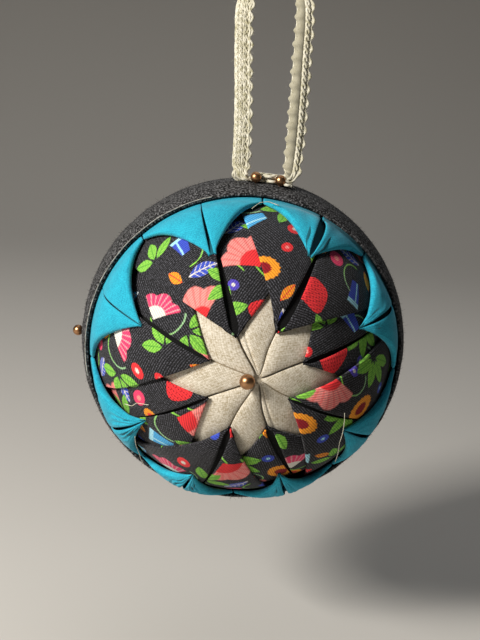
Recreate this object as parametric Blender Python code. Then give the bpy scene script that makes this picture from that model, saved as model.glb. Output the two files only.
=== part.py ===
# Folded cloth star ball ornament on a hanging loop of crocheted lace braid.
# Metres, +Z up. The origin is the top of the loop, where a hook or a nail holds it.
# The ball hangs below, with its front star facing -Y and its plain back star facing +Y.
# Places on the ball are polar: "lean" is the angle from the star's centre pin and
# "turn" the angle round it, clockwise from straight up for someone who faces the star.

import math

import bpy
import numpy as np

# Driving sizes of the ball and of its layers of cloth
BALL_RADIUS = 0.0360
BALL_CENTRE = np.array([0.0, 0.0, -0.0970])
CLOTH = 0.00035
LAYER_GAP = 0.00025
FOLDED = 2 * CLOTH + LAYER_GAP
SEAT_GAP = 0.0004
STACK_GAP = 0.0005
CREAM_RADIUS = BALL_RADIUS + SEAT_GAP
PRINT_RADIUS = CREAM_RADIUS + FOLDED + STACK_GAP
PRINT_STEP = FOLDED + STACK_GAP
BLUE_RADIUS = PRINT_RADIUS + 2 * PRINT_STEP
BAND_RADIUS = BLUE_RADIUS + FOLDED + STACK_GAP

# Cloth points: angles in degrees
CREAM_LEANS = (1.5, 10.0, 20.5, 31.0, 42.0)
CREAM_SLIT = 0.0005
PRINT_HEADING = 48.0
PRINT_WIDEST = 36.0
PRINT_RISE_END = 31.0
PRINT_LEANS_AFTER = (33.0, 44.5, 56.5, 68.0, 80.0)
PRINT_TIP_STEP = 6.0
BLUE_RING_SHARES = (0.0, 0.20, 0.50, 0.78, 1.0)
BLUE_WIDTH_SHARES = (0.05, 0.25, 0.52, 0.80, 1.0)
BLUE_PUFF = (0.0, 0.0004, 0.0011, 0.0012, 0.0)
BLUE_TIP_DROP = (1.0, 0.10, 0.0, 0.0, 0.0)
EDGE_ROOM = 2.2
BLUE_MEET_LEAN = 72.5
BLUE_BASE_LEAN = 84.0
TIP_HALF_WIDTH = 0.0010
SIDE_GAP = 0.0003
MIXED_STEP_TURN = 4.0

# Front cream points: name, turn of the slit, turns of the two edges
CREAM_FRONT = (
    ("cream_point_1", 28, -18, 72),
    ("cream_point_2", 113, 72, 154),
    ("cream_point_3", 193, 154, 238),
    ("cream_point_4", 292, 238, 342),
)
# Front print points: name, turn, lean of the tip, slit width,
# and whether the anticlockwise and clockwise sides lie over the neighbour (1) or under (0)
PRINT_FRONT = (
    ("print_point_1", -18, 16.4, 0.0020, 1, 0),
    ("print_point_2", 28, 20.6, 0.0020, 1, 1),
    ("print_point_3", 72, 22, 0.0013, 0, 0),
    ("print_point_4", 113, 17.8, 0.0009, 1, 1),
    ("print_point_5", 154, 21, 0.0018, 0, 0),
    ("print_point_6", 193, 20.8, 0.0015, 1, 1),
    ("print_point_7", 238, 16.4, 0.0009, 0, 0),
    ("print_point_8", 292, 15.6, 0.0009, 1, 0),
)
# Front blue points: name, turn, lean of the tip, slit width,
# and 1 where the tip drops onto a print point that lies under its neighbours
BLUE_FRONT = (
    ("blue_point_1", -20.5, 47.7, 0.0008, 0),
    ("blue_point_2", 25, 51.8, 0.0032, 0),
    ("blue_point_3", 67, 49.8, 0.0012, 1),
    ("blue_point_4", 119, 46, 0.0010, 0),
    ("blue_point_5", 159, 51, 0.0012, 0),
    ("blue_point_6", 200, 53, 0.0012, 0),
    ("blue_point_7", 236.5, 47.6, 0.0012, 1),
    ("blue_point_8", 289.6, 43.9, 0.0008, 0),
)
POINTS_ROUND = 8
BACK_PRINT_TIP = 18
BACK_BLUE_TIP = 47
BACK_SLIT = 0.0010

# Band round the middle
BAND_HALF_LEAN = 15.5
BAND_THICKNESS = 0.0008
BAND_SEGMENTS = 48
BAND_PROFILE_STEPS = 4

# Lace braid: a flat braid, carried along the route
LACE_WIDTH = 0.0046
LACE_THICKNESS = 0.0012
LACE_PITCH = 0.0035
LACE_WAIST = 0.84
# Route: X, height over the ball's centre, twist in degrees (0 = width runs along Y)
LACE_ROUTE = (
    (0.0092, 0.0428, 0),
    (0.0060, 0.0433, 0),
    (0.0028, 0.0436, 0),
    (-0.0004, 0.0437, 0),
    (-0.0026, 0.0436, 4),
    (-0.0039, 0.0443, 32),
    (-0.0043, 0.0464, 72),
    (-0.0045, 0.0500, 84),
    (-0.0049, 0.0570, 86),
    (-0.0055, 0.0650, 86),
    (-0.0063, 0.0740, 84),
    (-0.0069, 0.0820, 72),
    (-0.0069, 0.0870, 36),
    (-0.0054, 0.0924, 8),
    (-0.0020, 0.0958, 0),
    (0.0022, 0.0962, 0),
    (0.0062, 0.0940, -6),
    (0.0084, 0.0896, -24),
    (0.0090, 0.0840, -56),
    (0.0091, 0.0760, -76),
    (0.0093, 0.0680, -80),
    (0.0094, 0.0600, -80),
    (0.0094, 0.0530, -78),
    (0.0092, 0.0486, -66),
    (0.0087, 0.0462, -36),
    (0.0074, 0.0450, -6),
    (0.0054, 0.04475, 0),
    (0.0030, 0.0450, 0),
    (-0.0004, 0.0451, 0),
)

# Pins: only their round heads stand out of the cloth
CENTRE_PIN_RADIUS = 0.00195
SMALL_PIN_RADIUS = 0.00145
SIDE_PIN_TURN = 267.0
SIDE_PIN_LEAN = 96.0
LOOP_PIN_PLACES = (("pin_loop_1", -0.0003), ("pin_loop_2", 0.0061))
LOOP_PIN_FORWARD = 0.00385
PIN_GAP = 0.00012

COLOURS = {
    "cream": (0.69, 0.60, 0.43, 1.0),
    "print": (0.02, 0.02, 0.024, 1.0),
    "blue": (0.03, 0.48, 0.62, 1.0),
    "black": (0.012, 0.012, 0.014, 1.0),
    "lace": (0.79, 0.76, 0.61, 1.0),
    "copper": (0.48, 0.17, 0.07, 1.0),
    "core": (0.72, 0.68, 0.58, 1.0),
}


def make_material(name, colour, roughness=0.85, metallic=0.0):
    """Return a plain Principled BSDF material of one colour."""
    material = bpy.data.materials.new(name)
    material.use_nodes = True
    shader = material.node_tree.nodes["Principled BSDF"]
    shader.inputs["Base Color"].default_value = COLOURS[colour]
    shader.inputs["Roughness"].default_value = roughness
    shader.inputs["Metallic"].default_value = metallic
    return material


def add_solid(name, points, faces, colour, roughness=0.85, metallic=0.0):
    """Make one closed object from points and faces, with its own material."""
    mesh = bpy.data.meshes.new(name)
    mesh.from_pydata([tuple(point) for point in points], [], faces)
    mesh.validate()
    mesh.shade_smooth()
    mesh.set_sharp_from_angle(angle=math.radians(40.0))
    solid = bpy.data.objects.new(name, mesh)
    mesh.materials.append(make_material(name + "_finish", colour, roughness, metallic))
    bpy.context.collection.objects.link(solid)
    return solid


def on_ball(lean, turn, radius, side):
    """Point at a lean and a turn in degrees; side is 1 for the front star, -1 for the back."""
    lean = math.radians(lean)
    turn = math.radians(turn)
    across = radius * math.sin(lean)
    return BALL_CENTRE + np.array([
        across * math.sin(turn), -side * radius * math.cos(lean), across * math.cos(turn)])


def as_turn(length, radius, lean):
    """Turn in degrees that an arc of this length takes at this lean."""
    return math.degrees(length / (radius * math.sin(math.radians(lean))))


def folded_section(ring, steps):
    """Section of one folded point: its back layer, and a flap folded in from either edge.

    The list runs along the underside, then round each flap to the slit between them and
    back along the space that the layers leave, so one closed line bounds the cloth.
    """
    lean = ring["lean"]
    low = ring["radius"]
    top = low + FOLDED + ring["puff"]
    edge = as_turn(CLOTH, low, lean)
    slit = as_turn(ring["slit"] / 2, low, lean)
    left, right = ring["left"], ring["right"]
    slit = min(slit, (min(left, right) - edge) / (2 * steps))
    shares = [step / steps for step in range(1, steps)]

    def run(start, end):
        return [start] + [start + (end - start) * share for share in shares] + [end]

    def at(turns, height):
        return [(turn, height) for turn in turns]

    under = run(-left, 0.0)[:-1] + run(0.0, right)
    inside = run(right - edge, 0.0)[:-1] + run(0.0, -(left - edge))
    return (
        at(under, low)
        + at(run(right, slit), top)
        + at(run(slit, right - edge), top - CLOTH)
        + at(inside, low + CLOTH)
        + at(run(-(left - edge), -slit), top - CLOTH)
        + at(run(-slit, -left), top))


def section_caps(steps, start, flip):
    """Faces that close one end of a folded point, between neighbouring runs of its section."""
    wide = 2 * steps
    under = [start + i for i in range(wide + 1)]
    base = start + wide + 1
    top_right = [base + i for i in range(steps + 1)]
    in_right = [base + steps + 1 + i for i in range(steps + 1)]
    base += 2 * (steps + 1)
    inside = [base + i for i in range(wide + 1)]
    base += wide + 1
    in_left = [base + i for i in range(steps + 1)]
    top_left = [base + steps + 1 + i for i in range(steps + 1)]
    faces = []
    for run, back in ((under, inside), (top_right, in_right), (in_left, top_left)):
        last = len(run) - 1
        for i in range(last):
            faces.append((run[i], run[i + 1], back[last - 1 - i], back[last - i]))
    faces.append((under[-1], top_right[0], in_right[-1], inside[0]))
    faces.append((inside[-1], in_left[0], top_left[-1], under[0]))
    if flip:
        faces = [face[::-1] for face in faces]
    return faces


def folded_point(name, turn, rings, steps, colour, side):
    """Carry the folded section from the tip to the base of one cloth point."""
    points = []
    for ring in rings:
        for offset, radius in folded_section(ring, steps):
            share = min(1.0, max(-1.0, offset / MIXED_STEP_TURN))
            rise = ring["rise_left"] * (1 - share) / 2 + ring["rise_right"] * (1 + share) / 2
            points.append(on_ball(ring["lean"], turn + offset, radius + rise, side))
    count = len(points) // len(rings)
    front = side > 0
    faces = section_caps(steps, 0, not front)
    faces += section_caps(steps, count * (len(rings) - 1), front)
    for row in range(len(rings) - 1):
        for column in range(count):
            after = (column + 1) % count
            face = (row * count + column, (row + 1) * count + column,
                    (row + 1) * count + after, row * count + after)
            faces.append(face if front else face[::-1])
    return add_solid(name, points, faces, colour)


def make_cream_point(name, turn, first, last, side):
    """One of the four points that fill the middle, from the pin outwards."""
    rings = []
    for lean in CREAM_LEANS:
        gap = as_turn(SIDE_GAP / 2, CREAM_RADIUS, lean)
        rings.append({
            "lean": lean, "radius": CREAM_RADIUS, "puff": 0.0, "slit": CREAM_SLIT,
            "left": turn - first - gap, "right": last - turn - gap,
            "rise_left": 0.0, "rise_right": 0.0})
    return folded_point(name, turn, rings, 3, "cream", side)


def straight_edge_turn(lean, tip, heading):
    """Turn reached at a lean by a straight folded edge that leaves the tip at a heading."""
    closest = math.asin(math.sin(math.radians(tip)) * math.sin(math.radians(heading)))
    nearest = math.tan(closest)
    start = math.acos(nearest / math.tan(math.radians(tip)))
    return math.degrees(math.acos(nearest / math.tan(math.radians(lean))) - start)


def make_print_point(name, turn, tip, slit, over_left, over_right, side):
    """One of the eight printed points, whose sides lie over or under the next ones."""
    leans = (tip, tip + PRINT_TIP_STEP) + PRINT_LEANS_AFTER
    rings = []
    for lean in leans:
        share = (lean - tip) / (leans[-1] - tip)
        rise = PRINT_STEP * min(1.0, (lean - tip) / (PRINT_RISE_END - tip))
        width = min(PRINT_WIDEST, straight_edge_turn(lean, tip, PRINT_HEADING))
        width = max(width, as_turn(TIP_HALF_WIDTH, PRINT_RADIUS, lean))
        rings.append({
            "lean": lean, "radius": PRINT_RADIUS, "puff": 0.0,
            "slit": slit * (0.15 + 0.85 * math.sin(math.pi * share)),
            "left": width, "right": width,
            "rise_left": rise * over_left, "rise_right": rise * over_right})
    return folded_point(name, turn, rings, 3, "print", side)


def make_blue_point(name, turn, tip, slit, drop, reach_left, reach_right, side):
    """One of the eight plain blue points, puffed up where it turns down to the band."""
    rings = []
    for index, share in enumerate(BLUE_RING_SHARES):
        lean = tip + share * (BLUE_MEET_LEAN - tip)
        gap = as_turn(SIDE_GAP / 2, BLUE_RADIUS, lean)
        wide = BLUE_WIDTH_SHARES[index]
        rise = -PRINT_STEP * drop * BLUE_TIP_DROP[index]
        rings.append({
            "lean": lean, "radius": BLUE_RADIUS, "puff": BLUE_PUFF[index],
            "slit": slit * (0.2 + 0.8 * math.sin(math.pi * share)),
            "left": max(wide * (reach_left - gap), EDGE_ROOM * gap),
            "right": max(wide * (reach_right - gap), EDGE_ROOM * gap),
            "rise_left": rise, "rise_right": rise})
    rings.append({**rings[-1], "lean": BLUE_BASE_LEAN})
    return folded_point(name, turn, rings, 2, "blue", side)


def make_front_star():
    for name, turn, first, last in CREAM_FRONT:
        make_cream_point(name, turn, first, last, 1)
    for name, turn, tip, slit, over_left, over_right in PRINT_FRONT:
        make_print_point(name, turn, tip, slit, over_left, over_right, 1)
    turns = [row[1] for row in BLUE_FRONT]
    for index, (name, turn, tip, slit, drop) in enumerate(BLUE_FRONT):
        before = (turn - turns[index - 1]) % 360
        after = (turns[(index + 1) % POINTS_ROUND] - turn) % 360
        make_blue_point(name, turn, tip, slit, drop, before / 2, after / 2, 1)


def make_back_star():
    """The hidden side: the same folded star, evenly spaced."""
    spacing = 360 / POINTS_ROUND
    for index in range(POINTS_ROUND // 2):
        turn = index * 2 * spacing
        make_cream_point(
            "back_cream_point_%d" % (index + 1), turn, turn - spacing, turn + spacing, -1)
    for index in range(POINTS_ROUND):
        turn = index * spacing
        over = index % 2
        make_print_point("back_print_point_%d" % (index + 1),
                         turn, BACK_PRINT_TIP, BACK_SLIT, over, over, -1)
        make_blue_point("back_blue_point_%d" % (index + 1),
                        turn, BACK_BLUE_TIP, BACK_SLIT, 1 - over, spacing / 2, spacing / 2, -1)


def revolved(name, profile, segments, colour):
    """Turn a closed profile of (lean, radius) pairs round the star's axis."""
    points = []
    for step in range(segments):
        turn = 360 * step / segments
        points += [on_ball(lean, turn, radius, 1) for lean, radius in profile]
    count = len(profile)
    faces = []
    for step in range(segments):
        after = (step + 1) % segments
        for i in range(count):
            j = (i + 1) % count
            faces.append((step * count + i, step * count + j,
                          after * count + j, after * count + i))
    return add_solid(name, points, faces, colour)


def make_band():
    """Flat black band that covers the raw edges of both stars, with rounded edges."""
    first = 90 - BAND_HALF_LEAN
    last = 90 + BAND_HALF_LEAN
    leans = [first + (last - first) * i / BAND_PROFILE_STEPS
             for i in range(BAND_PROFILE_STEPS + 1)]
    edge = 0.4
    inner = [(lean, BAND_RADIUS) for lean in leans]
    outer = [(lean, BAND_RADIUS + BAND_THICKNESS) for lean in leans]
    outer[0] = (first - edge, BAND_RADIUS + BAND_THICKNESS / 2)
    outer[-1] = (last + edge, BAND_RADIUS + BAND_THICKNESS / 2)
    return revolved("band", inner + outer[::-1], BAND_SEGMENTS, "black")


def add_ball(name, centre, radius, segments, rings, colour, roughness=0.85, metallic=0.0):
    bpy.ops.mesh.primitive_uv_sphere_add(
        segments=segments, ring_count=rings, radius=radius, location=tuple(centre))
    ball = bpy.context.object
    ball.name = name
    ball.data.name = name
    ball.data.shade_smooth()
    ball.data.materials.append(make_material(name + "_finish", colour, roughness, metallic))
    return ball


def smooth_route(rows, step):
    """Points a step apart on a smooth curve that passes through every row of the route."""
    rows = np.array(rows, dtype=float)
    padded = np.vstack([2 * rows[0] - rows[1], rows, 2 * rows[-1] - rows[-2]])
    fine = []
    for i in range(1, len(padded) - 2):
        before, here, after, beyond = padded[i - 1:i + 3]
        for t in np.arange(0.0, 1.0, 0.05):
            fine.append(0.5 * (
                2 * here + (after - before) * t
                + (2 * before - 5 * here + 4 * after - beyond) * t ** 2
                + (3 * here - before - 3 * after + beyond) * t ** 3))
    fine.append(rows[-1])
    fine = np.array(fine)
    lengths = np.concatenate([[0], np.cumsum(np.hypot(*np.diff(fine[:, :2], axis=0).T))])
    places = np.linspace(0, lengths[-1], max(2, round(lengths[-1] / step)) + 1)
    return np.column_stack([np.interp(places, lengths, fine[:, k]) for k in range(3)])


def make_lace_loop():
    """Flat braid: six-sided section carried along the route and twisted as it goes.

    The edges bulge once in each pitch, so every second section is the waist between.
    """
    half_width = LACE_WIDTH / 2
    half_thick = LACE_THICKNESS / 2
    section = [(-half_width, 0), (-half_width * 0.6, -half_thick), (half_width * 0.6, -half_thick),
               (half_width, 0), (half_width * 0.6, half_thick), (-half_width * 0.6, half_thick)]
    route = smooth_route(LACE_ROUTE, LACE_PITCH / 2)
    centres = np.column_stack([route[:, 0], np.zeros(len(route)), route[:, 1]]) + BALL_CENTRE
    ahead = np.gradient(centres, axis=0)
    ahead /= np.linalg.norm(ahead, axis=1)[:, None]
    along_y = np.array([0.0, 1.0, 0.0])
    points = []
    for index, (centre, tangent) in enumerate(zip(centres, ahead)):
        twist = math.radians(route[index, 2])
        swell = 1.0 if index % 2 else LACE_WAIST
        outward = np.cross(tangent, along_y)
        wide = math.cos(twist) * along_y + math.sin(twist) * outward
        thick = np.cross(tangent, wide)
        points += [centre + swell * (u * wide + v * thick) for u, v in section]
    count = len(section)
    rows = len(centres)
    faces = [tuple(range(count))[::-1], tuple(range((rows - 1) * count, rows * count))]
    for row in range(rows - 1):
        for i in range(count):
            j = (i + 1) % count
            faces.append((row * count + i, row * count + j,
                          (row + 1) * count + j, (row + 1) * count + i))
    return add_solid("lace_loop", points, faces, "lace")


def make_pins():
    seat = CREAM_RADIUS + FOLDED + SIDE_GAP + CENTRE_PIN_RADIUS
    for name, side in (("pin_centre", 1), ("pin_back", -1)):
        add_ball(name, on_ball(0.0, 0.0, seat, side), CENTRE_PIN_RADIUS, 12, 8, "copper", 0.3, 1.0)
    side_seat = BAND_RADIUS + BAND_THICKNESS + SIDE_GAP + SMALL_PIN_RADIUS
    add_ball("pin_side", on_ball(SIDE_PIN_LEAN, SIDE_PIN_TURN, side_seat, 1),
             SMALL_PIN_RADIUS, 10, 6, "copper", 0.3, 1.0)
    loop_seat = BAND_RADIUS + BAND_THICKNESS + PIN_GAP + SMALL_PIN_RADIUS
    for name, across in LOOP_PIN_PLACES:
        height = math.sqrt(loop_seat ** 2 - across ** 2 - LOOP_PIN_FORWARD ** 2)
        centre = BALL_CENTRE + np.array([across, -LOOP_PIN_FORWARD, height])
        add_ball(name, centre, SMALL_PIN_RADIUS, 10, 6, "copper", 0.3, 1.0)


for leftover in list(bpy.data.objects):
    bpy.data.objects.remove(leftover, do_unlink=True)
add_ball("ball", BALL_CENTRE, BALL_RADIUS, 28, 16, "core")
make_front_star()
make_back_star()
make_band()
make_lace_loop()
make_pins()
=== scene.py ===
# Folded cloth star ball ornament: the cloth, band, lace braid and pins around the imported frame.
import bpy
import numpy as np
from mathutils import Matrix, Vector


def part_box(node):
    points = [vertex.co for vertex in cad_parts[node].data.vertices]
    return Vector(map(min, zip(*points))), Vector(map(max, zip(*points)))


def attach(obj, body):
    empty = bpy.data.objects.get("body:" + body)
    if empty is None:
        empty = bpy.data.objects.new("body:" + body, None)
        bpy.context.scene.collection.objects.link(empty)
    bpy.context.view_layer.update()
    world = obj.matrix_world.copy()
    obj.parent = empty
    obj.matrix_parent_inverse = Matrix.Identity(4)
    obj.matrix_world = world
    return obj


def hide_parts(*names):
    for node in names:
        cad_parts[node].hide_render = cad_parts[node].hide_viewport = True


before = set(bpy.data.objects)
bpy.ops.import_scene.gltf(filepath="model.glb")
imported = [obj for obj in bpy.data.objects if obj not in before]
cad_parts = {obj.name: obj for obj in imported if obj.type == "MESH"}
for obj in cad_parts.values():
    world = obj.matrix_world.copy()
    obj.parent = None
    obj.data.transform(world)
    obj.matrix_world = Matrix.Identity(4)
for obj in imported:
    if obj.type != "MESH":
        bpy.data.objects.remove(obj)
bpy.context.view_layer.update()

mm = 0.001
ballLow, ballHigh = (np.array(corner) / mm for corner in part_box("ball"))
ballCentre = (ballLow + ballHigh) / 2
ballRadius = (ballHigh[2] - ballLow[2]) / 2

# Heights of the layers over the ball's centre, in mm, as the solids have them
layers = {
    "cream": ballRadius + 0.40,
    "print": ballRadius + 1.85,
    "printStep": 1.45,
    "blue": ballRadius + 4.75,
    "band": ballRadius + 6.20,
    "fold": 0.95,
    "clear": 0.04,
}


def linearColour(code, alpha=1.0):
    # sRGB hex to linear: each channel ((c + 0.055) / 1.055) ^ 2.4 above the toe
    channels = np.array([int(code[i:i + 2], 16) / 255 for i in (1, 3, 5)])
    linear = np.where(channels <= 0.04045, channels / 12.92, ((channels + 0.055) / 1.055) ** 2.4)
    return (*linear.tolist(), alpha)


def addNode(tree, kind, settings=None, links=None, output=0):
    # Adds one node, sets its properties and unlinked inputs, joins its links, returns an output
    node = tree.nodes.new(kind)
    for key, value in (settings or {}).items():
        if isinstance(key, int) or key in node.inputs:
            node.inputs[key].default_value = value
        else:
            setattr(node, key, value)
    for key, source in (links or {}).items():
        tree.links.new(source, node.inputs[key])
    return node.outputs[output] if node.outputs else node


def newMaterial(name):
    material = bpy.data.materials.new(name)
    material.use_nodes = True
    tree = material.node_tree
    tree.nodes.clear()
    return material, tree


def finishMaterial(tree, shader, links):
    # Principled shader with constant sockets from a dictionary and linked ones beside it
    surface = addNode(tree, "ShaderNodeBsdfPrincipled", shader, links)
    addNode(tree, "ShaderNodeOutputMaterial", None, {"Surface": surface})


def sumUp(tree, operation, *terms):
    # One Math node whose terms are sockets or numbers
    sockets = {i: term for i, term in enumerate(terms) if not isinstance(term, (int, float))}
    numbers = {i: term for i, term in enumerate(terms) if isinstance(term, (int, float))}
    return addNode(tree, "ShaderNodeMath", {"operation": operation, **numbers}, sockets)


def fadeBetween(tree, value, low, high):
    # 0 at low and 1 at high, held outside them
    return addNode(tree, "ShaderNodeMapRange", {1: low, 2: high}, {0: value})


def mixColours(tree, share, *ends):
    # From the first to the second of two colours by this share; each is a hex code or a socket
    codes = {i: linearColour(end) for i, end in enumerate(ends, 6) if isinstance(end, str)}
    sockets = {i: end for i, end in enumerate(ends, 6) if not isinstance(end, str)}
    return addNode(tree, "ShaderNodeMix", {"data_type": "RGBA", **codes}, {0: share, **sockets}, 2)


def noiseAt(tree, place, scale, detail, output=0):
    return addNode(tree, "ShaderNodeTexNoise", {"Scale": scale, "Detail": detail},
                   {"Vector": place}, output)


def bumpFrom(tree, height, strength, distance):
    return addNode(tree, "ShaderNodeBump", {"Strength": strength, "Distance": distance},
                   {"Height": height})


def clothPlace(tree):
    return addNode(tree, "ShaderNodeUVMap", {"uv_map": "clothMap"})


def markShare(tree, mark):
    # Value of a mark that makePiece stores on the points
    return addNode(tree, "ShaderNodeAttribute", {"attribute_name": mark}, output=2)


def placeOnBall(lean, turn, radius, side):
    # Polar place in mm: lean from the star's pin, turn clockwise from straight up, both in
    # degrees; side is 1 for the front star and -1 for the back one
    lean, turn = np.radians(lean), np.radians(turn)
    across = radius * np.sin(lean)
    along = -side * radius * np.cos(lean) + 0 * turn
    return np.stack([across * np.sin(turn), along, across * np.cos(turn)], axis=-1) + ballCentre


def unit(vectors):
    return vectors / np.linalg.norm(vectors, axis=-1, keepdims=True)


def smoothStep(value):
    # 0 below 0, 1 above 1, and 3 t^2 - 2 t^3 between
    value = np.clip(value, 0, 1)
    return value * value * (3 - 2 * value)


def softNoise(u, v, seed, size, count=6):
    # Sum of plane sine waves in random directions and phases, of about this wavelength
    draw = np.random.default_rng(seed)
    total = 0
    for _ in range(count):
        heading, phase, stretch = draw.uniform(0, 6.283, 2).tolist() + [draw.uniform(0.7, 1.5)]
        wave = 6.283 / (size * stretch)
        total = total + np.sin(wave * (u * np.cos(heading) + v * np.sin(heading)) + phase)
    return total / count


def makeObject(name, points, faces, material):
    # Smooth-shaded mesh from points in mm
    mesh = bpy.data.meshes.new(name)
    mesh.from_pydata((points.reshape(-1, 3) * mm).tolist(), [], faces)
    mesh.polygons.foreach_set("use_smooth", np.ones(len(mesh.polygons), dtype=bool))
    mesh.materials.append(material)
    made = bpy.data.objects.new(name, mesh)
    bpy.context.collection.objects.link(made)
    return made


def makePiece(name, points, faces, material, uv=None, marks=None):
    piece = makeObject(name, points, faces, material)
    mesh = piece.data
    if uv is not None:
        loopVertex = np.empty(len(mesh.loops), dtype=np.int32)
        mesh.loops.foreach_get("vertex_index", loopVertex)
        layer = mesh.uv_layers.new(name="clothMap")
        layer.data.foreach_set("uv", uv.reshape(-1, 2)[loopVertex].ravel())
    for mark, values in (marks or {}).items():
        mesh.attributes.new(mark, "FLOAT", "POINT").data.foreach_set("value", values.ravel())
    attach(piece, "root")
    return piece


def gridFaces(rows, columns, closeRows=False, closeColumns=False, flip=False):
    # Quads between neighbouring rows and columns of a grid of points
    index = np.arange(rows * columns).reshape(rows, columns)
    if closeRows:
        index = np.vstack([index, index[:1]])
    if closeColumns:
        index = np.hstack([index, index[:, :1]])
    quads = np.stack([index[:-1, :-1], index[1:, :-1], index[1:, 1:], index[:-1, 1:]], axis=-1)
    quads = quads.reshape(-1, 4)
    return (quads[:, ::-1] if flip else quads).tolist()


def endCaps(rows, columns):
    # One face across the first and the last ring of a tube
    ring = list(range(columns))
    return [ring[::-1], [(rows - 1) * columns + i for i in ring]]


def joinParts(parts):
    # Points, faces and cloth map of several parts in one; faces count on from the points before
    points, faces, uvs = zip(*parts)
    firsts = np.cumsum([0] + [len(part) for part in points]).tolist()
    counted = [[corner + first for corner in face]
               for first, part in zip(firsts, faces) for face in part]
    return np.vstack(points), counted, np.vstack(uvs)


# Camera: at the photograph's angle, 0.4 m from the ball
cameraLook = {
    "distance": 400.0,
    "above": 14.8,
    "left": 2.7,
    "roll": 4.8,
    "ballPixel": (242.8, 338.0),
    "focalPixels": 1487.0,
    "frame": (480, 640),
    "sensor": 24.0,
}


def addCamera(look):
    above, left, roll = np.radians([look["above"], look["left"], look["roll"]])
    back = np.array([-np.sin(left) * np.cos(above), -np.cos(left) * np.cos(above), np.sin(above)])
    right = unit(np.cross([0, 0, 1], back))
    up = np.cross(back, right)
    # A camera rolled anticlockwise shows the object leaning clockwise
    upRolled = up * np.cos(roll) - right * np.sin(roll)
    rightRolled = right * np.cos(roll) + up * np.sin(roll)
    perPixel = look["distance"] / look["focalPixels"]
    shiftRight = (look["ballPixel"][0] - look["frame"][0] / 2) * perPixel
    shiftDown = (look["ballPixel"][1] - look["frame"][1] / 2) * perPixel
    place = ballCentre + back * look["distance"] - rightRolled * shiftRight + upRolled * shiftDown
    data = bpy.data.cameras.new("camera")
    data.sensor_fit = "VERTICAL"
    data.sensor_height = look["sensor"]
    data.lens = look["focalPixels"] * look["sensor"] / look["frame"][1]
    data.clip_start = 0.01
    camera = bpy.data.objects.new("camera", data)
    turned = Matrix([rightRolled, upRolled, back]).transposed().to_4x4()
    camera.matrix_world = Matrix.Translation(Vector(place * mm)) @ turned
    bpy.context.collection.objects.link(camera)
    bpy.context.scene.camera = camera


# Light: a soft window-like light from the upper left, weak fill from the right
lightLook = {
    "key": {"place": (-380, -310, 290), "size": 0.13, "power": 5.1, "colour": "#fffaf2"},
    "fill": {"place": (420, -330, 40), "size": 0.60, "power": 0.06, "colour": "#f0f3ff"},
    "top": {"place": (60, 200, 420), "size": 0.50, "power": 0.7, "colour": "#ffffff"},
    "world": "#b9b7b4",
    "worldStrength": 0.06,
    "floor": "#c6c3be",
    "floorBelow": 45.0,
}


def addLights(look):
    for name in ("key", "fill", "top"):
        data = bpy.data.lights.new(name, "AREA")
        data.size = look[name]["size"]
        data.energy = look[name]["power"]
        data.color = linearColour(look[name]["colour"])[:3]
        lamp = bpy.data.objects.new(name, data)
        place = Vector((ballCentre + np.array(look[name]["place"])) * mm)
        lamp.location = place
        aim = Vector(ballCentre * mm) - place
        lamp.rotation_euler = aim.to_track_quat("-Z", "Y").to_euler()
        bpy.context.collection.objects.link(lamp)
    world = bpy.context.scene.world or bpy.data.worlds.new("world")
    bpy.context.scene.world = world
    world.use_nodes = True
    background = world.node_tree.nodes["Background"]
    background.inputs["Color"].default_value = linearColour(look["world"])
    background.inputs["Strength"].default_value = look["worldStrength"]
    bpy.context.scene.view_settings.view_transform = "Standard"


def addFloor(look):
    # Plain pale paper sweep: flat under the ornament, then curving up behind it
    material, tree = newMaterial("paleFloor")
    finishMaterial(tree, {"Base Color": linearColour(look["floor"]), "Roughness": 0.9}, {})
    level = ballCentre[2] - ballRadius - layers["band"] + layers["cream"] - look["floorBelow"]
    reach = np.linspace(-900, 1500, 60)
    rise = np.where(reach > 500, (np.maximum(reach, 500) - 500) ** 2 / 900, 0)
    across = np.linspace(-1400, 1400, 30)
    width, depth = np.meshgrid(across, reach)
    height = np.broadcast_to(rise[:, None], width.shape)
    points = np.stack([width, depth, level + height], axis=-1)
    floor = makeObject("floor", points, gridFaces(*width.shape, flip=True), material)


addCamera(cameraLook)
addLights(lightLook)
addFloor(lightLook)
print("camera, lights and floor are in place")

# Lace loop: a flat crocheted braid of cotton yarn
laceLook = {
    "width": 4.6,
    "pitch": 3.5,
    "chainPitch": 2.35,
    "step": 0.25,
    "sides": 7,
    "colour": "#dad6c7",
    "shade": "#989270",
    # Darker colour of the plain strip and of the backing behind the chains: painted shade
    "stripShade": "#948f7b",
    "fibres": 800,
}
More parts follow.
